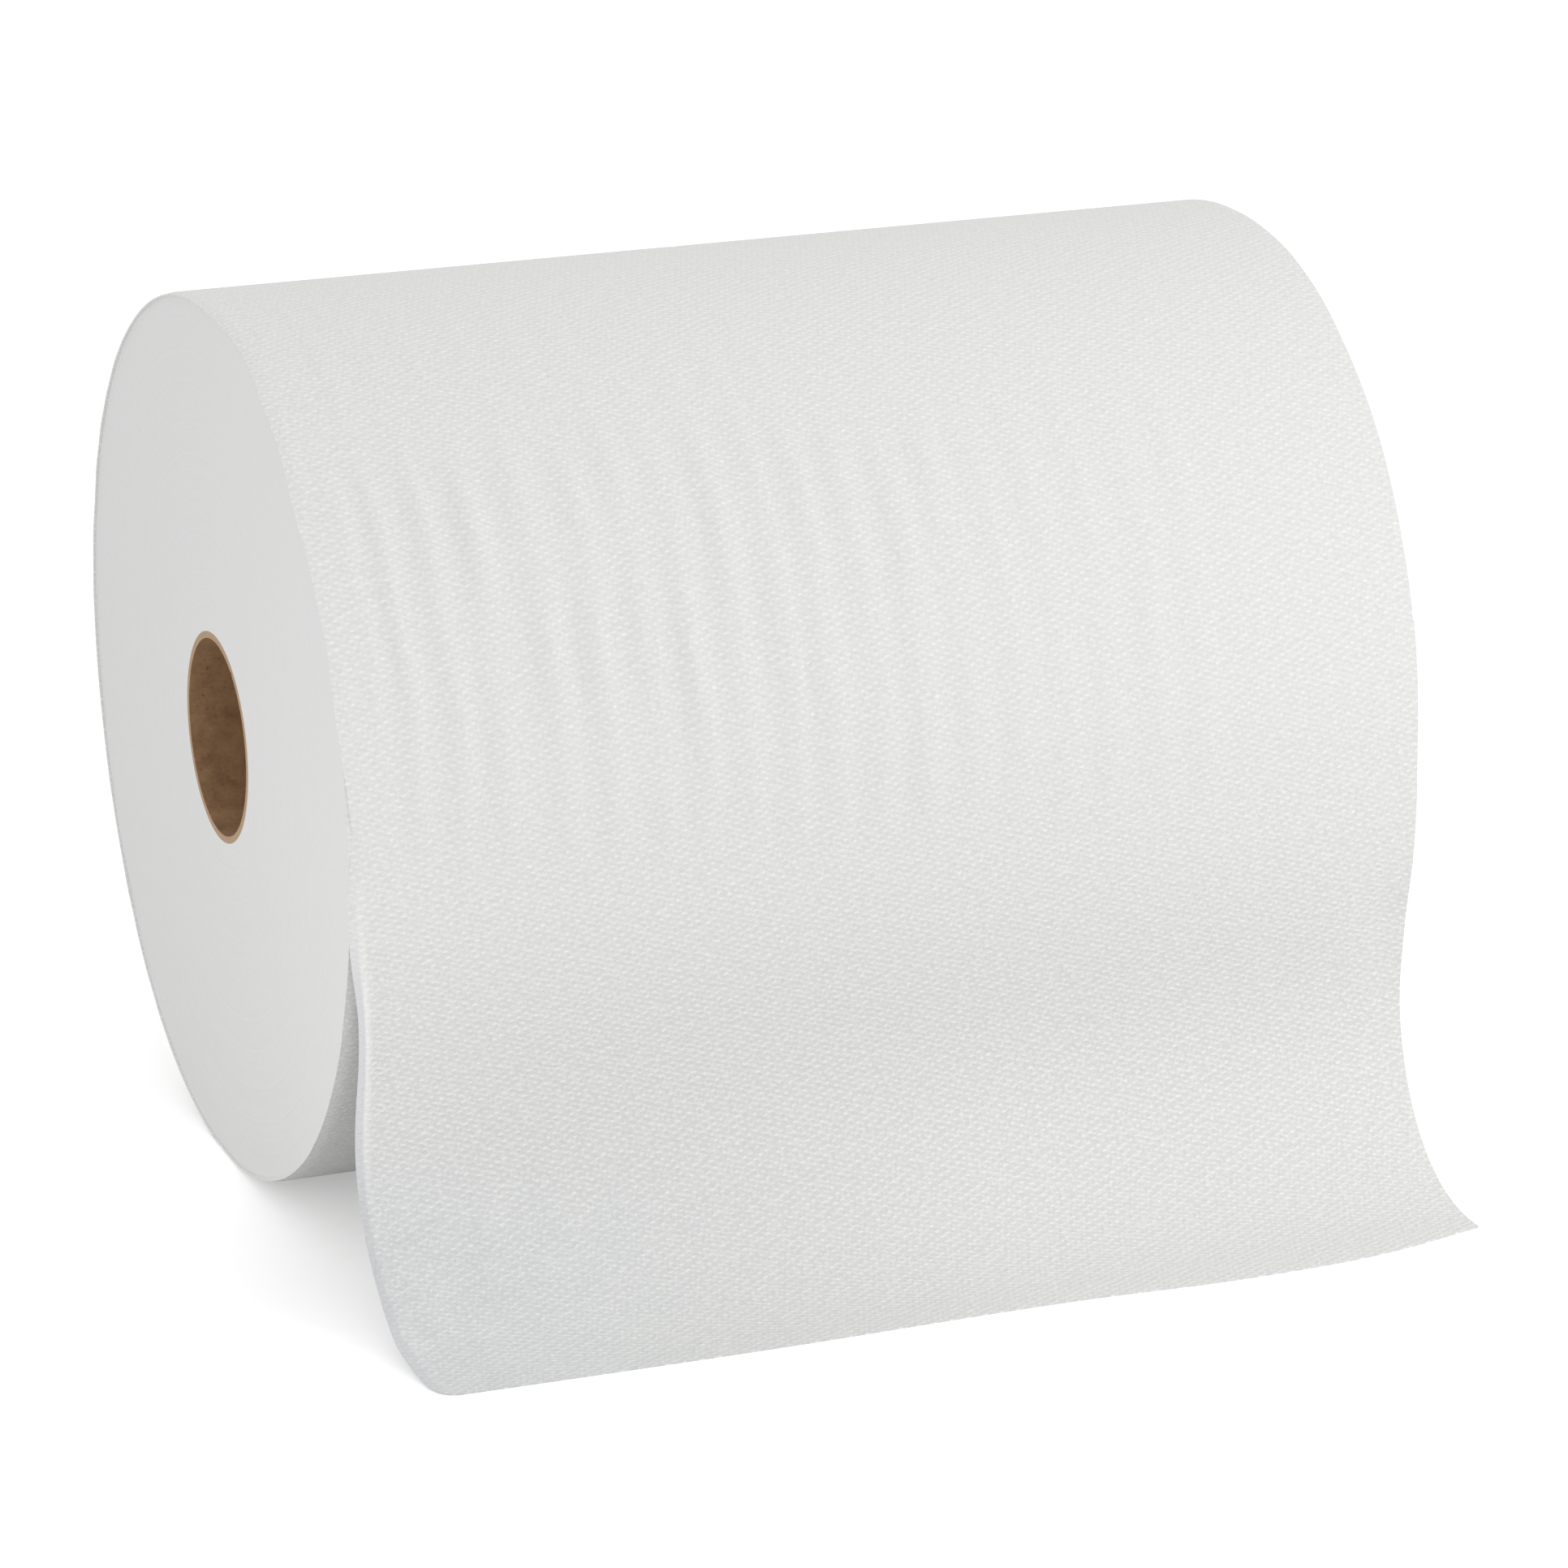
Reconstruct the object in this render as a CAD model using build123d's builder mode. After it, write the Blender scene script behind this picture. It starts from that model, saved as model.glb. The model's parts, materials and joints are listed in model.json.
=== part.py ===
from build123d import *
from math import asin, cos, degrees, radians
import os

# A hard-wound roll of white paper towelling on a kraft paper core. It lies on its side with the end of
# the towel pulled loose: the last turn comes off at the front of the roll, hangs down and sweeps
# forward until its cut edge lies on the surface.
# X runs along the core, -Y is the side where the towel comes off, and the origin is the middle of the
# core's axis. Sections are drawn across the core, in Y and Z.

# Driving dimensions
web_width = 254.0  # width of the towel, ten inches
roll_radius = 103.2  # axis to the outside of the last turn
sheet = 0.4  # thickness of one loose turn, with its moulded pattern
core_bore_radius = 22.9
core_wall = 1.6
flat_depth = 0.4  # how far the soft roll is pressed flat where it rests
end_recess = 0.5  # the last turns stand this far proud of the packed ones, at both ends
loose_turns = 1.2  # radial thickness of those last turns

# The spiral drawn on the ends: each line of it stands for some hundred of the real turns
line_pitch = 13.5
line_width = 0.9
line_depth = 0.3
first_line_gap = 3.0  # from the core to the start of the spiral
half_turns = 10

half_width = web_width / 2
packed_half = half_width - end_recess
core_radius = core_bore_radius + core_wall
lower_radius = roll_radius - sheet / 2
surface = flat_depth - lower_radius  # height of the surface that the roll lies on
lying = surface + sheet  # upper side of the towel where it lies on that surface

# The loose end hangs in three bends, and a place on it is given from its left edge, -1, to its right
# edge, 1. Its left edge bulges out from the roll, and its right edge hangs closer in. Each edge has the
# angle at which it leans out at the root, and the (Y, Z) points where the second and third bends start.
root = (-roll_radius - 0.2, -5.0)
left_edge = (14.0, (-103.6, -51.0), (-104.9, -76.7))
right_edge = (2.0, (-99.2, -47.3), (-102.8, -80.5))
cut_edge = {-1.0: -150.0, 0.6: -150.4, 1.0: -145.5}  # how far forward the cut edge lies
corner_round = 7.0  # the cut edge's left corner is rounded off

os.makedirs("parts", exist_ok=True)


def across(x):
    """The plane across the core at x, with Y to the right and Z up."""
    return Plane.YZ.offset(x)


def half_turn(index, pitch, radius):
    """Half a turn of a spiral that grows by pitch each turn. Even ones pass over the top, odd ones under."""
    centre = (0, 0) if index % 2 == 0 else (pitch / 2, 0)
    start = 0 if index % 2 == 0 else 180
    return CenterArc(centre, radius + index * pitch / 2, start, 180)


def spiral_line(radius):
    """The whole spiral on an end of the roll, starting at radius."""
    return [half_turn(index, line_pitch, radius) for index in range(half_turns)]


def between_edges(place, left, right):
    """A value or point at a place on the loose end, between those at its left and right edges."""
    share = (place + 1) / 2
    return left + (right - left) * share


def hanging_sheet(place):
    """The outline of the hanging towel's section at a place, one sheet thick."""
    lean = between_edges(place, left_edge[0], right_edge[0])
    second, third = (between_edges(place, Vector(a), Vector(b)) for a, b in zip(left_edge[1:], right_edge[1:]))
    bulge = TangentArc(root, second, tangent=Vector(0, -1).rotate(Axis.Z, -lean))
    waist = TangentArc(second, third, tangent=bulge % 1)
    # The last bend brings the towel flat onto the surface, which settles its radius
    turn = (waist % 1).get_angle(Vector(-1, 0))
    sweep_radius = (third.Y - lying) / (1 - cos(radians(turn)))
    sweep = JernArc(third, waist % 1, sweep_radius, -turn)
    flat = Line(sweep @ 1, (cut_edge[place], lying))

    # The inner side follows each bend at the sheet's thickness
    front = [bulge, waist, sweep, flat]
    joints = [Vector(root) + Vector(sheet, 0)]
    joints += [line @ 1 + (line % 1).rotate(Axis.Z, 90) * sheet for line in front]
    for line, start, end in zip(front[:-1], joints, joints[1:]):
        TangentArc(start, end, tangent=line % 0)
    Line(joints[-2], joints[-1])
    Line(root, joints[0])
    Line(flat @ 1, joints[-1])


# The core: a plain tube of kraft paper, cut flush with the packed turns
with BuildPart() as core_tube:
    with BuildSketch(across(-packed_half)):
        Circle(core_radius)
        Circle(core_bore_radius, mode=Mode.SUBTRACT)
    extrude(amount=2 * packed_half)

# The wound towel with its loose end, one continuous web
with BuildPart() as towel_web:
    # The outside is the last turn of the spiral: half a turn over the top, and half a turn underneath
    # that comes back one thickness of towel further in, just below the root of the loose end
    with BuildSketch(across(-half_width)):
        with BuildLine():
            over = half_turn(0, 0, roll_radius)
            lip = TangentArc(over @ 1, root, tangent=over % 1)
            root_angle = degrees(asin(-root[1] / lower_radius))
            under = CenterArc((sheet / 2, 0), lower_radius, 180 + root_angle, 180 - root_angle)
            Line(root, under @ 0)
        make_face()
    extrude(amount=web_width)
    split(bisect_by=Plane.XY.offset(surface), keep=Keep.TOP)

    # Both ends: packed turns a little inside the last ones, with the spiral of turns on them
    for side in (-1, 1):
        with BuildSketch(across(side * half_width)):
            Circle(roll_radius - loose_turns)
        extrude(amount=-side * end_recess, mode=Mode.SUBTRACT)
        with BuildSketch(across(side * packed_half)):
            with BuildLine():
                inner = spiral_line(core_radius + first_line_gap)
                outer = spiral_line(core_radius + first_line_gap + line_width)
                Line(inner[0] @ 0, outer[0] @ 0)
                Line(inner[-1] @ 1, outer[-1] @ 1)
            make_face()
        extrude(amount=-side * line_depth, mode=Mode.SUBTRACT)

    with BuildSketch(across(-half_width)):
        Circle(core_radius)
    extrude(amount=web_width, mode=Mode.SUBTRACT)

    # The loose end: straight across between its sections, as a sheet pulled along the roll is
    for place in cut_edge:
        with BuildSketch(across(place * half_width)):
            with BuildLine():
                hanging_sheet(place)
            make_face()
    loft(ruled=True)

    # The left corner of the cut end, rounded off as seen from above
    with BuildSketch(Plane.XY.offset(surface - sheet)):
        with Locations((corner_round - half_width, corner_round + cut_edge[-1.0])):
            Rectangle(2 * corner_round, 2 * corner_round, align=Align.MAX)
            Circle(corner_round, mode=Mode.SUBTRACT)
    extrude(amount=2 * corner_round, mode=Mode.SUBTRACT)

towel_web.part.label = "towel_web"
core_tube.part.label = "core_tube"
export_step(towel_web.part, "parts/towel_web.step")
export_step(core_tube.part, "parts/core_tube.step")
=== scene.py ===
# %% [markdown]
# This scene dresses one part: a wide roll of white paper towelling on a kraft paper core. It lies on
# its side, and the end of the web has been pulled loose at the front, so that it hangs down and sweeps
# forward over the surface. The frame holds the engineering model. Everything here is made in metres in
# that same frame: X runs along the core, -Y is the front, where the web comes off, and Z is up.

# %% The frame
import json
import math

import bpy
import numpy as np
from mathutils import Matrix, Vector, noise


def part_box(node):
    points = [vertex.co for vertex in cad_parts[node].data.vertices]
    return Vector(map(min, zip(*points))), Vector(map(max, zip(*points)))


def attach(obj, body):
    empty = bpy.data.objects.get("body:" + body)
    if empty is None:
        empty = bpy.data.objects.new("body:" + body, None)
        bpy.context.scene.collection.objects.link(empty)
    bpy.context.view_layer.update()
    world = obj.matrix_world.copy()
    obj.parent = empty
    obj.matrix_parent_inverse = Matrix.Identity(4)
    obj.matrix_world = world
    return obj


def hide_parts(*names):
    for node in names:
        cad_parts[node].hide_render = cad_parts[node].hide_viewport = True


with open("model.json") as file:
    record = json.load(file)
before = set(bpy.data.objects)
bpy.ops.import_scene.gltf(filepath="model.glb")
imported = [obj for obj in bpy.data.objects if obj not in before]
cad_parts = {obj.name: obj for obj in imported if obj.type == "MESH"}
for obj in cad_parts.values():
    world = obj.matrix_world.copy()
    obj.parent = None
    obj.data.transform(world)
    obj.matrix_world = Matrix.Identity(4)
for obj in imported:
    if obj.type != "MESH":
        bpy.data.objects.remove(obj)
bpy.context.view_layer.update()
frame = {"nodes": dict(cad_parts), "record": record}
print("nodes in the frame:", sorted(frame["nodes"]))

# %% [markdown]
# Sizes come from the frame wherever it has them. The box of the web gives its width, the radius of the
# roll and the height of the surface below it, the box of the core gives the core's outside, and the
# mount in the record gives its bore. What the frame doesn't hold, such as the thickness of one loose
# sheet, is a named value in millimetres, times mm.

# %% Sizes
mm = 0.001
web_low, web_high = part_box("towel_web")
core_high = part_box("core_tube")[1]
half_width = web_high.x
roll_radius = web_high.z
surface = web_low.z
packed_half = core_high.x
core_radius = core_high.z
bore_mount = next(m for m in frame["record"]["mounts"] if m["name"] == "core_bore")
bore_radius = bore_mount["dims"]["r_mm"] * mm
sheet = 0.4 * mm
print(f"web {2000 * half_width:.0f} mm wide, roll radius {1000 * roll_radius:.1f} mm")

# %% [markdown]
# The camera is a long lens, because the photograph shows almost no perspective: the two ends of the roll
# are nearly the same ellipse. Its place was found by fitting both rims of the roll and both edges of the
# core to the photograph. The view needs no shift, since the roll is near the middle of the frame.

# %% Camera
looks_down = 18.81  # degrees below level
looks_from = -21.08  # degrees round the roll from straight in front, towards its left end
camera = bpy.data.objects.new("camera", bpy.data.cameras.new("camera"))
bpy.context.scene.collection.objects.link(camera)
camera.location = (-0.5122, -1.3608, 0.4685)
camera.rotation_euler = (math.radians(90 - looks_down), 0, math.radians(looks_from))
camera.data.sensor_width = 36
camera.data.lens = 149.07
bpy.context.scene.camera = camera
print(f"the camera stands {camera.location.length:.2f} m from the middle of the roll")

# %% [markdown]
# Modelling is done as by hand, with operators on what is selected. Three small helpers keep that safe.
# The first starts every piece with nothing selected, because loading the frame leaves its nodes selected.
# The second names what was just added. The third selects edges of a mesh by a test on their middle, and
# goes back to edit mode.

# %% Selecting
def start_piece():
    """Leaves edit mode and selects nothing, before a new piece is added."""
    if bpy.context.object and bpy.context.object.mode == "EDIT":
        bpy.ops.object.mode_set(mode="OBJECT")
    bpy.ops.object.select_all(action="DESELECT")


def name_piece(name):
    """Gives the new active object and its mesh their name, and returns it."""
    piece = bpy.context.object
    piece.name = name
    piece.data.name = name
    return piece


def select_edges(piece, wanted):
    """In edit mode, selects the edges whose middle passes the test."""
    bpy.ops.mesh.select_mode(type="EDGE")
    bpy.ops.mesh.select_all(action="DESELECT")
    bpy.ops.object.mode_set(mode="OBJECT")
    for edge in piece.data.edges:
        a, b = (piece.data.vertices[i].co for i in edge.vertices)
        edge.select = wanted((a + b) / 2)
    bpy.ops.object.mode_set(mode="EDIT")


# %% [markdown]
# Paper is never quite regular, so most shapes below add a small amount of a smooth function. These few
# are all that is needed: noise, a hill, a soft step, and a smooth line through a few chosen values.

# %% Smooth functions
# The noise is 0 wherever all its numbers are whole, so the ones that a place lacks are a fraction
off_grid = 0.37


def uneven(*place):
    """Smooth noise from -1 to 1 at a place of up to three numbers. It is the same on every run."""
    return noise.noise(Vector(tuple(place) + (off_grid,) * (3 - len(place))))


def bump(at, centre, width):
    """A smooth hill of height 1 at centre that fades out within about its width."""
    return math.exp(-(((at - centre) / width) ** 2))


def rise(at, start, end):
    """0 before start and 1 after end, with a soft step between them. It falls if end is before start."""
    share = min(max((at - start) / (end - start), 0), 1)
    return share * share * (3 - 2 * share)


def smooth_through(pairs, at):
    """Values at some places of the smooth line through pairs of place and value."""
    places, values = np.array(pairs, float).T
    slopes = np.gradient(values, places)
    i = np.clip(np.searchsorted(places, at) - 1, 0, len(places) - 2)
    step = places[i + 1] - places[i]
    t = (at - places[i]) / step
    ends = values[i] * (1 + 2 * t) * (1 - t) ** 2 + values[i + 1] * t * t * (3 - 2 * t)
    return ends + step * (slopes[i] * t * (1 - t) ** 2 - slopes[i + 1] * t * t * (1 - t))


line_samples = 600


def smooth_line(pairs):
    """A function that reads the smooth line through pairs at any place, and is level beyond its ends."""
    places = np.linspace(pairs[0][0], pairs[-1][0], line_samples)
    values = smooth_through(pairs, places)
    return lambda at: float(np.interp(at, places, values))


# %% [markdown]
# A roll of paper isn't a true circle after it has been packed and handled. This one is a little flat on
# top and behind, where it lay against others, and full between those places. The web and the packed
# turns below it have to agree on that shape, so it is one function that both of them use.

# %% Out of round
# Each pair is an angle above the front, in degrees, and how far the roll stands out there, in millimetres
round_errors = [(-90, 0), (-75, -0.6), (-45, 0), (66, 0), (92, -1.6), (112, -1.3)]
round_errors += [(152, 0.8), (170, 0), (210, -1.1), (241, 0.5), (270, 0)]
round_error = smooth_line(round_errors)
whole_turn = 360
lowest_angle = -90  # where the pairs above begin, straight below the axis
taper = 0.2  # how much more out of round the right end is than the middle


def out_of_round(u, above_front):
    """How far the outside of the roll lies from a true circle, at a place across and an angle round it."""
    angle = (above_front - lowest_angle) % whole_turn + lowest_angle
    return round_error(angle) * mm * (1 + taper * u / half_width)


# %% [markdown]
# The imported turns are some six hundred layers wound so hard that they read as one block. Their section
# is a rectangle between the core and the outside, so the block is that rectangle's outline spun once
# round the core's axis. A cylinder with a hole cut in it would have two flat discs for ends. The spin
# gives rings instead, which the next cell can shift a little, as the turns of a real roll are. Those
# rings are moved closer together towards the rim, where single turns stand out.

# %% The block of wound turns
ring_count = 90
cuts_along = 5
spin_steps = 320
merge_distance = 0.01 * mm
rim_closeness = 0.6  # how much closer together the rings are at the rim than on average
packed_radius = roll_radius - sheet

start_piece()
bpy.ops.mesh.primitive_plane_add(size=1)
wound_turns = name_piece("wound_turns")
bpy.ops.object.mode_set(mode="EDIT")
bpy.ops.transform.resize(value=(2 * half_width, packed_radius - core_radius, 1))
bpy.ops.transform.translate(value=(0, (packed_radius + core_radius) / 2, 0))
bpy.ops.mesh.delete(type="ONLY_FACE")
select_edges(wound_turns, lambda middle: abs(middle.x) > 0.9 * half_width)
bpy.ops.mesh.subdivide(number_cuts=ring_count)
select_edges(wound_turns, lambda middle: abs(middle.x) < 0.1 * half_width)
bpy.ops.mesh.subdivide(number_cuts=cuts_along)
bpy.ops.object.mode_set(mode="OBJECT")
for vertex in wound_turns.data.vertices:
    share = (vertex.co.y - core_radius) / (packed_radius - core_radius)
    share += rim_closeness * share * (1 - share)
    vertex.co.y = core_radius + share * (packed_radius - core_radius)
bpy.ops.object.mode_set(mode="EDIT")
bpy.ops.mesh.select_all(action="SELECT")
bpy.ops.mesh.spin(steps=spin_steps, angle=2 * math.pi, center=(0, 0, 0), axis=(1, 0, 0))
bpy.ops.mesh.select_all(action="SELECT")
bpy.ops.mesh.remove_doubles(threshold=merge_distance)
bpy.ops.mesh.normals_make_consistent(inside=False)
bpy.ops.object.mode_set(mode="OBJECT")
print("wound turns:", len(wound_turns.data.polygons), "faces")

# %% [markdown]
# On the ends, the turns show as a spiral. Each turn lies a few hundredths of a millimetre in or out of
# its neighbours, and the last few stand proud, because nothing has pressed them flush. The rings are
# shifted along the core by those amounts: a wander from ring to ring, one shallow line that follows the
# spiral, and the proud lip near the rim. The same cell seats the block. The web grows by its thickness
# each turn, so the lower half is half a thickness off centre, and the roll is pressed flat below.

# %% Turns on the ends
end_wander = 0.05 * mm
spiral_depth = 0.1 * mm
spiral_width = 1.6 * mm
spiral_pitch = 13.5 * mm
spiral_start = core_radius + 3 * mm
lip_start = packed_radius - 1.3 * mm
last_lip = packed_radius - 0.35 * mm
tuck_angle = 16  # degrees above the front to which the start of the last turn reaches under it
end_recess = half_width - packed_half


def end_shift(side, radius, angle):
    """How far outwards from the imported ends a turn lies, at a radius and an angle round the core."""
    turn = (radius - spiral_start) / spiral_pitch - side * angle / (2 * math.pi)
    from_line = (turn - round(turn)) * spiral_pitch
    fade = rise(radius, spiral_start, spiral_start + spiral_pitch)
    fade *= rise(radius, lip_start, lip_start - 5 * mm)
    line = -spiral_depth * fade * bump(from_line, 0, spiral_width)
    wander = end_wander * (uneven(radius / (1.3 * mm), side) + 0.8 * uneven(radius / (6 * mm), angle, side))
    # The lip has two steps, each as high as half the recess of the ends, more or less
    first_lip = lip_start + 0.5 * mm * uneven(angle * 5, side * 5)
    lip = 0.5 * rise(radius, first_lip, first_lip + 0.3 * mm) * (0.8 + 0.6 * uneven(angle * 7, side * 3))
    lip += 0.5 * rise(radius, last_lip, packed_radius) * (0.8 + 0.5 * uneven(angle * 9, side * 5))
    lip *= end_recess
    return line + wander * rise(radius, core_radius, core_radius + 2 * mm) + lip


for vertex in wound_turns.data.vertices:
    x, y, z = vertex.co
    radius = math.hypot(y, z)
    above_front = math.degrees(math.atan2(z, -y))
    depth = (radius - core_radius) / (packed_radius - core_radius)
    if abs(x) > 0.99 * half_width:
        side = math.copysign(1, x)
        x = side * (packed_half + end_shift(side, radius, math.atan2(z, y)))
    # Up to a little past the last turn's start, the block is half a sheet smaller and further back
    shrink = 0
    if -180 < above_front < tuck_angle + 2:
        shrink = sheet / 2
    swollen = 1 + (out_of_round(x, above_front) - shrink) * depth / radius
    vertex.co = (x, y * swollen + shrink * depth, max(z * swollen, surface + sheet))
print(f"ends lie {1000 * end_recess:.1f} mm inside the last turn")

# %% [markdown]
# The last turn and the loose end are one sheet, so they are modelled as one: a flat grid with the real
# width and length, which is then rolled up. Seen from the side, a sheet is a line, and the natural way
# to draw a line in paper is by its lean, the angle at which it heads away from straight down. On the
# roll the lean falls by one degree for each degree of the turn. Off the roll it changes smoothly
# between a few values read from the photograph, separately for the left and right edges. Then the sheet
# bends forward in one arc that lands on the surface, and lies flat up to its cut edge. A cloth
# simulation would also give a fall, but not this one: paper keeps the bend of the roll.

# %% Path of the loose end
# Each pair is the distance from where the web leaves the roll, in millimetres, and its lean in degrees
left_leans = [(0, 7), (16, 5), (34, -2.5), (52, -7.5), (66, -7), (79, 4.5), (103, 48.5)]
right_leans = [(0, 1.5), (14, 0), (30, -6), (46, -10), (57, -7.5), (69, 7), (83, 26.5)]
# Each pair is a place along the cut edge and how far forward the edge lies there, in millimetres
cut_edge = [(-127, -149.5), (-50, -151), (26, -150.8), (65, -152.8), (97, -151.3), (127, -145)]
cut_line = smooth_line(cut_edge)
corner_round = 5 * mm
left_reach = 1.6  # how fast the shape of the left edge gives way to that of the right one


def between_edges(u):
    """The pairs of distance and lean for a place across the web, between those of its two edges."""
    leftness = ((half_width - u) / (2 * half_width)) ** left_reach
    left, right = np.array(left_leans, float), np.array(right_leans, float)
    return right + (left - right) * leftness


def cut_place(u):
    """Where the cut edge lies at a place across the web, with its left corner rounded off."""
    from_corner = max(corner_round - (u + half_width), 0)
    rounding = corner_round - math.sqrt(corner_round**2 - from_corner**2)
    return cut_line(u / mm) * mm + rounding


# %% [markdown]
# The path of one line down the web is worked out at a fixed number of rows: round the roll, down the
# hanging part, and round the landing arc to the cut edge. Each row keeps its place, its lean and the
# length of web up to it. That length becomes the second coordinate of the sheet's own map, so the
# pattern moulded into the paper is laid on at its true size.

# %% Rows of the web
rows_under, rows_over, rows_hanging, rows_landing = 65, 131, 52, 31
rows_wound = rows_under + rows_over
rows = rows_wound + rows_hanging + rows_landing
arc_points = 80
lying = surface + sheet


def steps_to(start, end, count):
    """Count values that lead from start to end, without start itself."""
    return np.linspace(start, end, count + 1)[1:]


def web_line(u):
    """Rows of (y, z, lean, length) down the web at a place across it. Lean is in radians."""
    knots = between_edges(u)
    leave = knots[0, 1]
    # Under the roll the web lies half a thickness off centre, and over it on the full radius
    degrees_under = np.concatenate([[360 + tuck_angle], steps_to(360 + tuck_angle, 180, rows_under)])
    wound = np.concatenate([degrees_under, steps_to(180, leave, rows_over)])
    lean = np.radians(wound)
    radius = np.where(wound > 180, roll_radius - sheet / 2, roll_radius)
    radius = radius + [out_of_round(u, angle) for angle in wound]
    y = np.where(wound > 180, sheet / 2, 0) - radius * np.cos(lean)
    z = np.maximum(radius * np.sin(lean), surface)
    length = np.concatenate([[0], np.cumsum(np.hypot(np.diff(y), np.diff(z)))])

    # The hanging part follows its lean in small steps
    travel = steps_to(0, knots[-1, 0], rows_hanging)
    step = travel[0]
    heading = np.radians(smooth_through(knots, travel - step / 2))
    y = np.append(y, y[-1] - np.cumsum(np.sin(heading)) * step * mm)
    z = np.append(z, z[-1] - np.cumsum(np.cos(heading)) * step * mm)
    lean = np.append(lean, np.radians(smooth_through(knots, travel)))
    length = np.append(length, length[-1] + travel * mm)

    # The landing arc ends level with the surface, which settles its radius, and the rest lies flat
    turned = np.linspace(lean[-1], math.pi / 2, arc_points)
    arc = (z[-1] - lying) / (1 - math.sin(lean[-1]))
    path = arc * (turned - lean[-1])
    path_y = y[-1] - arc * (math.cos(lean[-1]) - np.cos(turned))
    path_z = z[-1] - arc * (np.sin(turned) - math.sin(lean[-1]))
    path_y = np.append(path_y, path_y[-1] - half_width)
    path_z = np.append(path_z, lying)
    turned = np.append(turned, math.pi / 2)
    path = np.append(path, path[-1] + half_width)
    landing = steps_to(0, np.interp(-cut_place(u), -path_y, path), rows_landing)
    y = np.append(y, np.interp(landing, path, path_y))
    z = np.append(z, np.interp(landing, path, path_z))
    lean = np.append(lean, np.interp(landing, path, turned))
    length = np.append(length, length[-1] + landing)
    return np.stack([y, z, lean, length], axis=1)


middle_line = web_line(0.0)
root_length = float(middle_line[rows_wound, 3])
print(f"the last turn is {1000 * root_length:.0f} mm of web")

# %% [markdown]
# The sheet isn't perfectly smooth. Winding tension leaves soft ridges that run round the front of the
# roll about a centimetre apart, and fade out to the right. A small flap of the left edge has lifted off
# the roll, and the loose end is cupped beside its left edge and dented beside its right one. All of that
# is paper moved by a millimetre or so along its normal. It is real shape, so it is in the mesh. Only the
# moulded pattern, which is finer than the mesh, is left to the material.

# %% Ridges and dents
ridge_height = 1.15 * mm
# Where the ridges lie across the web, in millimetres
ridge_places = [-119, -111, -101, -91, -78, -67, -56, -46, -35, -24, -15, -4, 7, 18, 29, 40, 51, 63, 75, 87]
ridge_phase = smooth_line([(place, i) for i, place in enumerate(ridge_places)])
groove_depth = 0.08 * mm
swell_height = 0.12 * mm
flap_height = 0.35 * mm
dent_depth = 1.1 * mm
cup_height = 1.3 * mm


def lift(u, above_front, travel):
    """How far a point of the sheet lies out along its normal. Travel is the distance below the roll."""
    sway = 1.5 * mm * uneven(u / (40 * mm), above_front / 16, 5)
    phase = ridge_phase((u + sway) / mm)
    strength = max(0.85 + 1.1 * uneven(u / (13 * mm), above_front / 16, 3), 0.1)
    across = rise(u, -126 * mm, -112 * mm) * (0.35 + 0.65 * rise(u, 30 * mm, -10 * mm))
    across *= rise(u, 92 * mm, 66 * mm)
    around = 0.12 * rise(above_front, 90, 70) + 0.88 * rise(above_front, 56, 42)
    around *= rise(travel, 18 * mm, 0)
    ridge = ridge_height * (0.5 + 0.5 * math.cos(2 * math.pi * phase)) ** 1.5 * strength * across * around
    groove = -groove_depth * bump(u, -4.5 * mm, 1.6 * mm) * rise(above_front, 130, 100)
    down = travel - above_front * math.radians(1) * roll_radius
    swell = swell_height * uneven(u / (38 * mm), down / (30 * mm), 7) * rise(above_front, 110, 80)
    flap = flap_height * rise(above_front, 36, 26) * rise(above_front, 24, 25.5)
    flap *= rise(u, -112 * mm, -118 * mm)
    dent = -dent_depth * bump(u, 122 * mm, 7 * mm) * bump(travel, 44 * mm, 10 * mm)
    cupped = cup_height * rise(u, -121.5 * mm, -125.2 * mm)
    cupped *= rise(travel, 10 * mm, 34 * mm) * rise(travel, 84 * mm, 56 * mm)
    return ridge + groove + swell + flap + dent + cupped


# %% [markdown]
# The edges of the last turn wander in and out along the core, because they were never pressed. Most of
# that is on the left, where the edge stands out by up to a millimetre round the roll, by more just below
# it, and swings in at the corner of the cut. On the loose end its last two millimetres are creased back,
# most of all a third of the way down, and the paper beside the crease shows a thin line of painted
# highlight in the towelling's colour. A fold is a turn of the paper about the crease, so the strip outside
# it moves in and back by the cosine and sine of the fold's angle.

# %% Edges of the sheet
# Each pair is an angle above the front, in degrees, and how far the left edge stands out, in millimetres
rim_wander = [(-30, 0), (9, -0.4), (13, 0.1), (22, 0.7), (28, 0.5), (34, 0.8), (40, 0.9), (46, 1.2)]
rim_wander += [(50, 0.8), (56, 0.5), (64, 0.4), (72, -0.5), (80, 0), (100, 0.1)]
rim_shift = smooth_line(rim_wander)
crease_inset = 2.1 * mm
# Each pair is the distance below the roll, in millimetres, and the angle of the crease in degrees
crease_angles = [(-4, 0), (8, 26), (30, 32), (44, 62), (54, 62), (68, 46), (106, 46), (128, 0)]
crease_angle = smooth_line(crease_angles)
left_out = 1.7 * mm  # how far the left edge stands out just below the roll
left_swing = 3.8 * mm  # how far it swings in at the corner of the cut
right_swing = 1.4 * mm  # how far the right edge swings in on its way to the surface
right_in = 0.6 * mm  # how far the right edge is drawn in on the front of the roll


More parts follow.
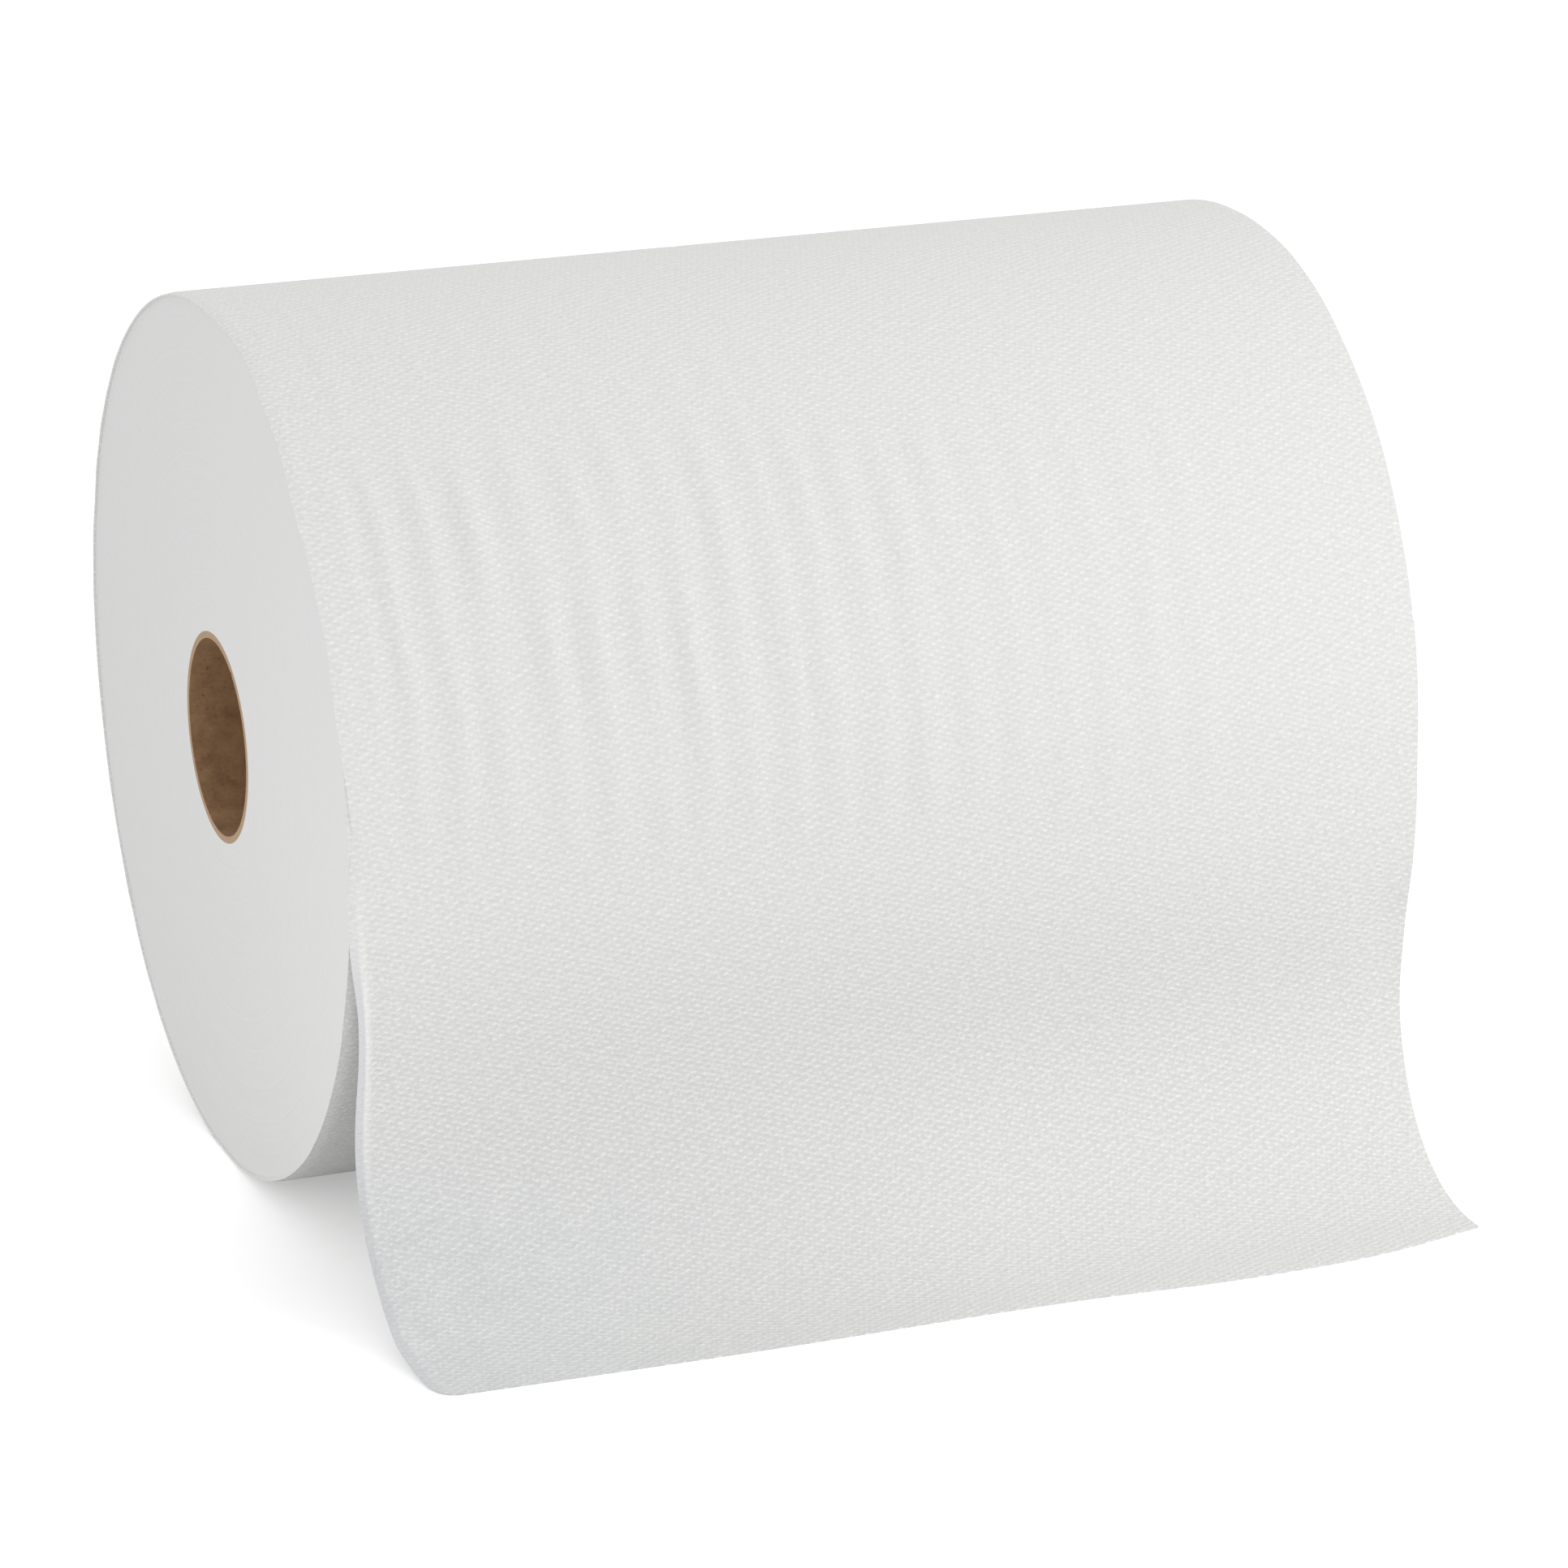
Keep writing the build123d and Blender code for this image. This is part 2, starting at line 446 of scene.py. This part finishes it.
def edge_shift(u, above_front, travel):
    """How far a point of the sheet is shifted along the core."""
    near_left = rise(u, -105 * mm, -half_width)
    near_right = rise(u, 105 * mm, half_width)
    left = 0.12 * mm * uneven(above_front / 4, 11) - rim_shift(above_front) * mm * rise(travel, 20 * mm, 0)
    left -= left_out * bump(travel, 24 * mm, 18 * mm)
    left += left_swing * rise(travel, 121 * mm, 155 * mm)
    right = 0.25 * mm * uneven(above_front / 9, 5) - right_swing * rise(travel, 75 * mm, 125 * mm)
    right -= right_in * bump(above_front, 35, 30) * rise(travel, 20 * mm, 0)
    return near_left * left + near_right * right


def curl_back(u, travel):
    """How far the strip outside the crease moves along the core and out along the sheet's normal."""
    outside = max(crease_inset - half_width - u, 0)
    angle = math.radians(crease_angle(travel / mm))
    return outside * (1 - math.cos(angle)), -outside * math.sin(angle)


# %% [markdown]
# Now the flat web. The grid gets its subdivisions across and along, closer together near the two edges,
# and its map is written in metres of real paper. Then every point is carried to its place on the roll.
# The sheet is a surface so far. Solidify gives it the thickness of one towel, inwards from the outer
# face, and closes the rim, so that the cut edges can be seen.

# %% The last turn and the loose end
columns = 156
edge_closeness = 0.5  # how much closer together the columns are at the edges than on average

start_piece()
bpy.ops.mesh.primitive_grid_add(x_subdivisions=columns, y_subdivisions=rows, size=1, calc_uvs=True)
last_turn = name_piece("last_turn")
column_share = np.linspace(-1, 1, columns + 1)
column_u = half_width * (column_share + edge_closeness * np.sin(math.pi * column_share) / math.pi)
lines = [web_line(u) for u in column_u]
flat_places = []
for vertex in last_turn.data.vertices:
    column = round((vertex.co.x + 0.5) * columns)
    row = round((0.5 - vertex.co.y) * rows)
    u = column_u[column]
    y, z, lean, length = lines[column][row]
    flat_places.append((u, length))
    hanging = row > rows_wound
    above_front = 0 if hanging else math.degrees(lean)
    travel = length - lines[column][rows_wound][3] if hanging else 0
    curl_in, curl_out = curl_back(u, travel)
    # The last rows before the cut edge are neither ridged nor dented
    outwards = curl_out + lift(u, above_front, travel) * rise(row, rows - 3, rows - 14)
    x = u + edge_shift(u, above_front, travel) + curl_in
    vertex.co = (x, y - outwards * math.cos(lean), z + outwards * math.sin(lean))
web_map = last_turn.data.uv_layers.active
web_map.name = "web"
for loop in last_turn.data.loops:
    web_map.data[loop.index].uv = flat_places[loop.vertex_index]
print("last turn:", len(last_turn.data.polygons), "faces before it has thickness")

# %% Thickness of the sheet
thicken = last_turn.modifiers.new("thickness", "SOLIDIFY")
thicken.thickness = sheet
thicken.offset = -1
thicken.use_even_offset = True
bpy.ops.object.modifier_apply(modifier=thicken.name)
bpy.ops.object.shade_smooth_by_angle(angle=math.radians(40))
start_piece()
wound_turns.select_set(True)
bpy.context.view_layer.objects.active = wound_turns
bpy.ops.object.shade_smooth_by_angle(angle=math.radians(40))
print("last turn:", len(last_turn.data.polygons), "faces")

# %% [markdown]
# The core is a tube of kraft paper. Cores are made by winding strips of board round a rod at a slant, so
# the inner strip leaves a narrow seam that runs down the bore like a screw thread. The tube is again an
# outline spun round the axis. The seam is one column of its inner faces extruded into the wall, and a
# twist of the whole tube then turns the straight groove into the slanted one.

# %% The kraft core
core_steps = 144
core_cuts_along = 95
seam_depth = 0.3 * mm
strip_width = 100 * mm
seam_start = 55  # degrees above the front, where the seam meets the left end

start_piece()
bpy.ops.mesh.primitive_plane_add(size=1)
core = name_piece("kraft_core")
bpy.ops.object.mode_set(mode="EDIT")
bpy.ops.transform.resize(value=(2 * packed_half, core_radius - bore_radius, 1))
bpy.ops.transform.translate(value=(0, (core_radius + bore_radius) / 2, 0))
bpy.ops.mesh.delete(type="ONLY_FACE")
select_edges(core, lambda middle: abs(middle.x) < 0.1 * packed_half)
bpy.ops.mesh.subdivide(number_cuts=core_cuts_along)
bpy.ops.mesh.select_all(action="SELECT")
bpy.ops.mesh.spin(steps=core_steps, angle=2 * math.pi, center=(0, 0, 0), axis=(1, 0, 0))
bpy.ops.mesh.select_all(action="SELECT")
bpy.ops.mesh.remove_doubles(threshold=merge_distance)
bpy.ops.mesh.normals_make_consistent(inside=False)
bpy.ops.object.mode_set(mode="OBJECT")
print("core:", len(core.data.polygons), "faces")

# %% The seam down the bore
bpy.ops.object.mode_set(mode="EDIT")
bpy.ops.mesh.select_mode(type="FACE")
bpy.ops.mesh.select_all(action="DESELECT")
bpy.ops.object.mode_set(mode="OBJECT")
half_step = math.pi / core_steps
for face in core.data.polygons:
    inside = abs(face.normal.x) < 0.5 and math.hypot(face.center.y, face.center.z) < bore_radius + 0.1 * mm
    face.select = inside and abs(math.atan2(face.center.z, -face.center.y) - half_step) < half_step
bpy.ops.object.mode_set(mode="EDIT")
into_wall = (0, -seam_depth * math.cos(half_step), seam_depth * math.sin(half_step))
bpy.ops.mesh.extrude_region_move(TRANSFORM_OT_translate={"value": into_wall})
bpy.ops.object.mode_set(mode="OBJECT")

bore_round = 2 * math.pi * bore_radius
seam_lead = strip_width / math.sqrt(1 - (strip_width / bore_round) ** 2)
seam_turns = 2 * packed_half / seam_lead
for vertex in core.data.vertices:
    along = vertex.co.x + packed_half
    turned = math.radians(seam_start) + 2 * math.pi * along / seam_lead
    y, z = vertex.co.y, vertex.co.z
    vertex.co.y = y * math.cos(turned) + z * math.sin(turned)
    vertex.co.z = z * math.cos(turned) - y * math.sin(turned)
bpy.ops.object.shade_smooth_by_angle(angle=math.radians(35))
print(f"the seam goes round the bore {seam_turns:.1f} times")

# %% [markdown]
# Materials are built from nodes. Colours are written as the hex values that a designer reads off a
# screen, and one function turns them to the linear values that shaders take. Another adds one node with
# its settings and its links, whatever kind it is, so a material reads as a short list of steps.

# %% Colours and nodes
def from_hex(code):
    """A colour written as sRGB hex, as the linear values that a shader takes."""
    parts = [int(code[i : i + 2], 16) / 255 for i in (0, 2, 4)]
    linear = [p / 12.92 if p <= 0.04045 else ((p + 0.055) / 1.055) ** 2.4 for p in parts]
    return (*linear, 1)


def new_material(name):
    """An empty material with its shader, as (material, shader)."""
    material = bpy.data.materials.new(name)
    material.use_nodes = True
    return material, material.node_tree.nodes["Principled BSDF"]


def add_node(owner, kind, settings=None, **links):
    """Adds a node. Settings and links are named by property or input, or _0, _1 for an input's number."""
    node = owner.node_tree.nodes.new(kind)

    def found(name):
        return node.inputs[int(name[1:])] if name[0] == "_" else node.inputs[name]

    for name, value in (settings or {}).items():
        if hasattr(node, name):
            setattr(node, name, value)
        else:
            found(name).default_value = value
    for name, socket in links.items():
        owner.node_tree.links.new(socket, found(name))
    return node


# %% [markdown]
# Finish: moulded paper towelling. The web is dried on a woven fabric, whose raised threads press it into
# a lattice of small oval knuckles, wider across the web than along it. They lie in rows three quarters
# of a millimetre apart, and four millimetres from one to the next in a row. Such a lattice is a sum of a
# few waves, so its height is made from six cosines of the sheet's own map, which is in metres of paper:
# two waves that were measured in the photograph, and four of their sums, differences and doubles. A
# little noise bends the rows, and more noise makes some knuckles faint, as pressing and winding do.

# %% Knuckles of the towelling
# Each row is the waves per millimetre across and along the web, and the strength of that wave
lattice_waves = [(0.25, 0.53, 1.0), (-0.25, 0.78, 1.0), (-0.5, 0.25, 0.3)]
lattice_waves += [(0.5, 1.06, 0.4), (0.75, 0.28, 0.4), (0.0, 1.31, 0.25)]
bend_size = 5 * mm
bend_reach = 0.9 * mm
faint_size = 2.6 * mm

towelling, shader = new_material("moulded paper towelling")
web = add_node(towelling, "ShaderNodeUVMap", {"uv_map": "web"}).outputs["UV"]
wobble = add_node(towelling, "ShaderNodeTexNoise", {"Scale": 1 / bend_size, "Detail": 2}, Vector=web)
bent = add_node(towelling, "ShaderNodeVectorMath", {"operation": "MULTIPLY_ADD", "_1": (bend_reach,) * 3},
                _0=wobble.outputs["Color"], _2=web)
knuckles = None
for across, along, strength in lattice_waves:
    wave_way = (2 * math.pi * across / mm, 2 * math.pi * along / mm, 0)
    phase = add_node(towelling, "ShaderNodeVectorMath", {"operation": "DOT_PRODUCT", "_1": wave_way},
                     _0=bent.outputs["Vector"])
    wave = add_node(towelling, "ShaderNodeMath", {"operation": "COSINE"}, _0=phase.outputs["Value"])
    joined = {} if knuckles is None else {"_2": knuckles.outputs[0]}
    knuckles = add_node(towelling, "ShaderNodeMath",
                        {"operation": "MULTIPLY_ADD", "_1": strength, "_2": 0.0},
                        _0=wave.outputs[0], **joined)
knuckles = add_node(towelling, "ShaderNodeMapRange", {"From Min": -1.4, "From Max": 3.0},
                    Value=knuckles.outputs[0])
patches = add_node(towelling, "ShaderNodeTexNoise", {"Scale": 1 / faint_size, "Detail": 3}, Vector=web)
pressed_in = add_node(towelling, "ShaderNodeMapRange", {"From Min": 0.3, "From Max": 0.7, "To Min": 0.35},
                      Value=patches.outputs["Fac"])
knuckles = add_node(towelling, "ShaderNodeMath", {"operation": "MULTIPLY"},
                    _0=knuckles.outputs[0], _1=pressed_in.outputs[0])
row_gap = 1 / max(along for across, along, strength in lattice_waves)
print(f"rows of knuckles lie {row_gap:.2f} mm apart")

# %% [markdown]
# The paper's height is those knuckles, the fine grain of its fibres, and a slow unevenness like clouds.
# It is finer than the mesh, so it goes into the bump. Where the paper hangs loose, winding no longer
# flattens it, and its knuckles and fibres stand twice as deep. The map's second number is the length of
# web, which tells where that begins.

# %% Relief of the towelling
emboss_height = 0.1 * mm
fibre_height = 0.17 * mm
fibre_size = 1.1 * mm
cloud_height = 0.25 * mm
cloud_size = 9 * mm

fibres = add_node(towelling, "ShaderNodeTexNoise",
                  {"Scale": 1 / fibre_size, "Detail": 4, "Roughness": 0.65}, Vector=web)
grain = add_node(towelling, "ShaderNodeMath",
                 {"operation": "MULTIPLY_ADD", "_1": fibre_height / emboss_height},
                 _0=fibres.outputs["Fac"], _2=knuckles.outputs[0])
clouds = add_node(towelling, "ShaderNodeTexNoise", {"Scale": 1 / cloud_size, "Detail": 2}, Vector=web)
across_along = add_node(towelling, "ShaderNodeSeparateXYZ", Vector=web)
loose = add_node(towelling, "ShaderNodeMapRange",
                 {"From Min": root_length - 10 * mm, "From Max": root_length + 50 * mm},
                 Value=across_along.outputs["Y"])
freed = add_node(towelling, "ShaderNodeMath", {"operation": "ADD", "_1": 1.0}, _0=loose.outputs[0])
deeper = add_node(towelling, "ShaderNodeMath", {"operation": "MULTIPLY"},
                  _0=grain.outputs[0], _1=freed.outputs[0])
height = add_node(towelling, "ShaderNodeMath",
                  {"operation": "MULTIPLY_ADD", "_1": cloud_height / emboss_height},
                  _0=clouds.outputs["Fac"], _2=deeper.outputs[0])
relief = add_node(towelling, "ShaderNodeBump", {"Distance": emboss_height}, Height=height.outputs[0])
print(f"the towelling starts to loosen after {1000 * (root_length - 10 * mm):.0f} mm of web")

# %% [markdown]
# The grain also drives the colour, weakly. The pressed hollows are denser than the knuckles, and their
# darker colour is also painted shade, which the bump alone gives too weakly under soft light. The lower
# part of the loose end gets painted shade, greyer and cooler, more and more towards its left edge and in
# faint patches, for the dark space behind one sheet and the dimmer light there. The eye gets a dry, matt,
# almost neutral white with a cloth-like grain.

# %% Colour of the towelling
# The grain's heights that get the darkest and the lightest colour, where it is wound and where it hangs.
# The darker hollows are partly real density and partly painted shade.
wound_grain_and_hollow_shade = (0.68, 1.98)
loose_grain_and_hollow_shade = (0.84, 1.65)
lowest = add_node(towelling, "ShaderNodeMapRange", {"To Min": wound_grain_and_hollow_shade[0], "To Max": loose_grain_and_hollow_shade[0]},
                  Value=loose.outputs[0])
highest = add_node(towelling, "ShaderNodeMapRange", {"To Min": wound_grain_and_hollow_shade[1], "To Max": loose_grain_and_hollow_shade[1]},
                   Value=loose.outputs[0])
tone = add_node(towelling, "ShaderNodeMapRange",
                _0=grain.outputs[0], _1=lowest.outputs[0], _2=highest.outputs[0])
colour = add_node(towelling, "ShaderNodeMix",
                  {"data_type": "RGBA", "_6": from_hex("dddddb"), "_7": from_hex("f6f6f4")},
                  _0=tone.outputs[0])
# Painted shade: the lower part of the loose end is made greyer and cooler, most towards its left edge.
single = add_node(towelling, "ShaderNodeMapRange",
                  {"From Min": root_length + 60 * mm, "From Max": root_length + 92 * mm},
                  Value=across_along.outputs["Y"])
leftward_shade = add_node(towelling, "ShaderNodeMapRange",
                    {"From Min": 20 * mm, "From Max": -half_width, "To Max": 0.75},
                    Value=across_along.outputs["X"])
loose_end_shade = add_node(towelling, "ShaderNodeMath", {"operation": "MULTIPLY"},
                _0=single.outputs[0], _1=leftward_shade.outputs[0])
patchy_shade = add_node(towelling, "ShaderNodeMapRange",
                  {"From Min": 0.3, "From Max": 0.7, "To Min": 0.75, "To Max": 1.15},
                  Value=clouds.outputs["Fac"])
loose_end_shade = add_node(towelling, "ShaderNodeMath", {"operation": "MULTIPLY"},
                _0=loose_end_shade.outputs[0], _1=patchy_shade.outputs[0])
# The painted shade is multiplied into the towelling's colour.
colour = add_node(towelling, "ShaderNodeMix",
                  {"data_type": "RGBA", "blend_type": "MULTIPLY", "_7": from_hex("ebeef1")},
                  _0=loose_end_shade.outputs[0], _6=colour.outputs[2])
print("nodes of the towelling so far:", len(towelling.node_tree.nodes))

# %% [markdown]
# The crease beside the left edge is crushed paper. Along the upper part of the loose end its crest gets a
# painted highlight, whiter than the rest. The narrow strip turned back behind it gets a painted shade, a
# little greyer. Both follow the crease by the map's two numbers.

# %% Painted highlight and shade on the crease
crease_x = crease_inset - half_width
creased = add_node(towelling, "ShaderNodeMapRange",
                   {"From Min": root_length + 5 * mm, "From Max": root_length + 35 * mm, "To Max": 0.5},
                   Value=across_along.outputs["Y"])
upper = add_node(towelling, "ShaderNodeMapRange",
                 {"From Min": root_length + 84 * mm, "From Max": root_length + 62 * mm},
                 Value=across_along.outputs["Y"])
highlight_band = add_node(towelling, "ShaderNodeMapRange",
                 {"From Min": crease_x + 1.9 * mm, "From Max": crease_x + 0.5 * mm},
                 Value=across_along.outputs["X"])
crest_highlight = add_node(towelling, "ShaderNodeMath", {"operation": "MULTIPLY"},
                   _0=creased.outputs[0], _1=highlight_band.outputs[0])
crest_highlight = add_node(towelling, "ShaderNodeMath", {"operation": "MULTIPLY"},
                   _0=crest_highlight.outputs[0], _1=upper.outputs[0])
# Painted highlight: the crest of the crease is mixed towards white.
colour = add_node(towelling, "ShaderNodeMix", {"data_type": "RGBA", "_7": from_hex("ffffff")},
                  _0=crest_highlight.outputs[0], _6=colour.outputs[2])
# Painted shade: the strip turned back behind the crease is mixed towards a bluish grey.
shaded_margin = add_node(towelling, "ShaderNodeMapRange",
                  {"From Min": crease_x + 0.2 * mm, "From Max": crease_x - 0.4 * mm},
                  Value=across_along.outputs["X"])
turned_back_shade = add_node(towelling, "ShaderNodeMath", {"operation": "MULTIPLY"},
                       _0=creased.outputs[0], _1=shaded_margin.outputs[0])
colour = add_node(towelling, "ShaderNodeMix", {"data_type": "RGBA", "_7": from_hex("cccdd2")},
                  _0=turned_back_shade.outputs[0], _6=colour.outputs[2])
towelling.node_tree.links.new(colour.outputs[2], shader.inputs["Base Color"])
towelling.node_tree.links.new(relief.outputs["Normal"], shader.inputs["Normal"])
shader.inputs["Roughness"].default_value = 0.95
shader.inputs["IOR"].default_value = 1.5
shader.inputs["Specular IOR Level"].default_value = 0.3
last_turn.data.materials.append(towelling)
print(f"the crease lies {1000 * crease_inset:.1f} mm inside the left edge")

# %% [markdown]
# Finish: pressed paper edges. On the ends, hundreds of cut edges lie side by side, so the face is
# smoother than the towelling but shows faint rings, where one turn's edge stands a hair above the next.
# The rings depend on the distance from the axis alone, so their noise has one dimension and reads the
# length of the place across the core. Real turns are 0.13 mm apart, too fine to see, so the rings are
# drawn about seven times as coarse. The eye gets a soft neutral white with barely visible circles.

# %% Pressed edges
ring_width = 0.9 * mm
fuzz_size = 0.7 * mm
ring_depth = 0.03 * mm

pressed, shader = new_material("pressed paper edges")
place = add_node(pressed, "ShaderNodeTexCoord").outputs["Object"]
crossways = add_node(pressed, "ShaderNodeVectorMath", {"operation": "MULTIPLY", "_1": (0, 1, 1)}, _0=place)
radius = add_node(pressed, "ShaderNodeVectorMath", {"operation": "LENGTH"}, _0=crossways.outputs["Vector"])
rings = add_node(pressed, "ShaderNodeTexNoise",
                 {"noise_dimensions": "1D", "Scale": 1 / ring_width, "Detail": 3},
                 W=radius.outputs["Value"])
fuzz = add_node(pressed, "ShaderNodeTexNoise", {"Scale": 1 / fuzz_size, "Detail": 4}, Vector=place)
height = add_node(pressed, "ShaderNodeMath", {"operation": "ADD"},
                  _0=rings.outputs["Fac"], _1=fuzz.outputs["Fac"])
relief = add_node(pressed, "ShaderNodeBump", {"Distance": ring_depth}, Height=height.outputs[0])
tone = add_node(pressed, "ShaderNodeMapRange", {"From Min": 0.6, "From Max": 1.4}, Value=height.outputs[0])
colour = add_node(pressed, "ShaderNodeMix",
                  {"data_type": "RGBA", "_6": from_hex("e2e2e1"), "_7": from_hex("e6e6e6")},
                  _0=tone.outputs[0])
pressed.node_tree.links.new(colour.outputs[2], shader.inputs["Base Color"])
pressed.node_tree.links.new(relief.outputs["Normal"], shader.inputs["Normal"])
shader.inputs["Roughness"].default_value = 0.95
shader.inputs["Specular IOR Level"].default_value = 0.3
wound_turns.data.materials.append(pressed)
print(f"rings on the ends are {1000 * ring_width:.1f} mm wide")

# %% [markdown]
# Finish: kraft board. Core board is made from recycled brown pulp, pressed smooth but never even: cloudy
# patches a few millimetres wide, fine fibres, and a few dark specks. Three noises at those three sizes
# give that, on Object coordinates, because the tube has no map and the clouds run through its thickness.
# The eye gets a warm, dull brown with a very slight polish from the winding rod.

# %% Kraft board
patch_size = 6 * mm
pulp_fibre = 0.8 * mm
speck_size = 1.1 * mm
board_depth = 0.04 * mm

kraft, shader = new_material("kraft board")
place = add_node(kraft, "ShaderNodeTexCoord").outputs["Object"]
clouds = add_node(kraft, "ShaderNodeTexNoise",
                  {"Scale": 1 / patch_size, "Detail": 4, "Roughness": 0.6}, Vector=place)
fibres = add_node(kraft, "ShaderNodeTexNoise", {"Scale": 1 / pulp_fibre, "Detail": 5}, Vector=place)
mottle = add_node(kraft, "ShaderNodeMath", {"operation": "MULTIPLY_ADD", "_1": 0.5},
                  _0=fibres.outputs["Fac"], _2=clouds.outputs["Fac"])
tone = add_node(kraft, "ShaderNodeMapRange", {"From Min": 0.55, "From Max": 0.95}, Value=mottle.outputs[0])
colour = add_node(kraft, "ShaderNodeMix",
                  {"data_type": "RGBA", "_6": from_hex("876647"), "_7": from_hex("a98460")},
                  _0=tone.outputs[0])
specks = add_node(kraft, "ShaderNodeTexNoise", {"Scale": 1 / speck_size, "Detail": 2}, Vector=place)
speck = add_node(kraft, "ShaderNodeMapRange", {"From Min": 0.69, "From Max": 0.74, "To Max": 0.6},
                 Value=specks.outputs["Fac"])
colour = add_node(kraft, "ShaderNodeMix", {"data_type": "RGBA", "_7": from_hex("5a4230")},
                  _0=speck.outputs[0], _6=colour.outputs[2])
relief = add_node(kraft, "ShaderNodeBump", {"Distance": board_depth}, Height=mottle.outputs[0])
kraft.node_tree.links.new(colour.outputs[2], shader.inputs["Base Color"])
kraft.node_tree.links.new(relief.outputs["Normal"], shader.inputs["Normal"])
shader.inputs["Roughness"].default_value = 0.8
core.data.materials.append(kraft)
print("nodes of the kraft board:", len(kraft.node_tree.nodes))

# %% [markdown]
# Finish: cut edge of the board. Where the saw has gone through the tube, the fibres are torn open, and
# the ring looks much paler and duller than the pressed faces. Three plies of board show as two faint
# darker circles. It is a second material on the same mesh, given to the faces that look along the core.

# %% Cut edge of the board
ply = (core_radius - bore_radius) / 3
tuft_size = 0.6 * mm

cut_board, shader = new_material("cut kraft board")
place = add_node(cut_board, "ShaderNodeTexCoord").outputs["Object"]
crossways = add_node(cut_board, "ShaderNodeVectorMath", {"operation": "MULTIPLY", "_1": (0, 1, 1)}, _0=place)
radius = add_node(cut_board, "ShaderNodeVectorMath", {"operation": "LENGTH"}, _0=crossways.outputs["Vector"])
per_metre = 2 * math.pi / ply
plies = add_node(cut_board, "ShaderNodeMath",
                 {"operation": "MULTIPLY_ADD", "_1": per_metre, "_2": -per_metre * bore_radius},
                 _0=radius.outputs["Value"])
glue_line = add_node(cut_board, "ShaderNodeMath", {"operation": "COSINE"}, _0=plies.outputs[0])
torn = add_node(cut_board, "ShaderNodeTexNoise", {"Scale": 1 / tuft_size, "Detail": 4}, Vector=place)
tone = add_node(cut_board, "ShaderNodeMath", {"operation": "MULTIPLY_ADD", "_1": 0.25},
                _0=glue_line.outputs[0], _2=torn.outputs["Fac"])
colour = add_node(cut_board, "ShaderNodeMix",
                  {"data_type": "RGBA", "_6": from_hex("bfa484"), "_7": from_hex("a3876a")},
                  _0=tone.outputs[0])
cut_board.node_tree.links.new(colour.outputs[2], shader.inputs["Base Color"])
shader.inputs["Roughness"].default_value = 0.95
core.data.materials.append(cut_board)
for face in core.data.polygons:
    if abs(face.normal.x) > 0.5:
        face.material_index = 1
print(f"each ply of the core is {1000 * ply:.2f} mm thick")

# %% [markdown]
# The floor is a plain matt white sheet. A photographer would light such a floor until it is pure white.
# That would flood the roll with light from below, so here the floor glows a little instead, but only for
# rays from the camera, and for the mirror and see-through rays that carry its picture. The light on the
# roll stays plain, and the shadow is kept, because the glow is added to what the lamps give.

# %% Floor
floor_glow = 0.36
floor_size = 12
floor_grey = 0.86


def seen_directly(owner):
    """1 for rays that show a thing itself or its mirror image, and 0 for rays that carry its light."""
    path = add_node(owner, "ShaderNodeLightPath")
    mirrored = add_node(owner, "ShaderNodeMath", {"operation": "MAXIMUM"},
                        _0=path.outputs["Is Glossy Ray"], _1=path.outputs["Is Transmission Ray"])
    return add_node(owner, "ShaderNodeMath", {"operation": "MAXIMUM"},
                    _0=path.outputs["Is Camera Ray"], _1=mirrored.outputs[0]).outputs[0]


start_piece()
bpy.ops.mesh.primitive_plane_add(size=floor_size, location=(0, 0, surface))
floor = name_piece("floor")
paper_floor, shader = new_material("matt white floor")
glow = add_node(paper_floor, "ShaderNodeMath", {"operation": "MULTIPLY", "_1": floor_glow},
                _0=seen_directly(paper_floor))
shader.inputs["Base Color"].default_value = (floor_grey, floor_grey, floor_grey, 1)
shader.inputs["Roughness"].default_value = 1.0
shader.inputs["Emission Color"].default_value = (1, 1, 1, 1)
paper_floor.node_tree.links.new(glow.outputs[0], shader.inputs["Emission Strength"])
floor.data.materials.append(paper_floor)

# %% [markdown]
# The photograph has no hard shadow and very little difference between the top and the front, so most of
# the light is an even dome of sky, made with the world. Two soft lamps stand near the right end of the
# roll, one low in front and one above. Because they are near, their light falls off along the roll, which
# makes the right end brighter than the left, and because they stand to the side, they model the ridges.
# A very weak lamp at the left brightens the round end towards its front rim.

# %% Light
sky_level = 0.86
world = bpy.data.worlds.new("studio")
bpy.context.scene.world = world
world.use_nodes = True
backdrop = world.node_tree.nodes["Background"]
level = add_node(world, "ShaderNodeMapRange", {"To Min": sky_level, "To Max": 1.0},
                 Value=seen_directly(world))
backdrop.inputs["Color"].default_value = (1, 1, 1, 1)
world.node_tree.links.new(level.outputs[0], backdrop.inputs["Strength"])


def soft_box(name, place, size, watts):
    """A square studio lamp at a place, turned towards the roll."""
    data = bpy.data.lights.new(name, "AREA")
    data.shape = "SQUARE"
    data.size = size
    data.energy = watts
    lamp = bpy.data.objects.new(name, data)
    lamp.location = place
    lamp.rotation_euler = (-Vector(place)).to_track_quat("-Z", "Y").to_euler()
    bpy.context.scene.collection.objects.link(lamp)


soft_box("front_right", (0.42, -0.55, 0.2), size=0.3, watts=0.78)
soft_box("top_right", (0.6, -0.25, 0.75), size=0.4, watts=0.6)
soft_box("left_fill", (-0.34, -0.18, -0.01), size=0.12, watts=0.065)
bpy.context.scene.view_settings.view_transform = "Standard"
print("lamps:", sorted(light.name for light in bpy.data.lights))

# %% [markdown]
# All three new pieces ride on the frame's one body. The imported turns and the last turn are one web of
# paper.

# %% Fitting the pieces to the frame
for piece, slot in ((wound_turns, "towel_paper"), (last_turn, "towel_paper"), (core, "kraft_core")):
    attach(piece, "root")
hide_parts("towel_web")
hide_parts("towel_web")
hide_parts("core_tube")
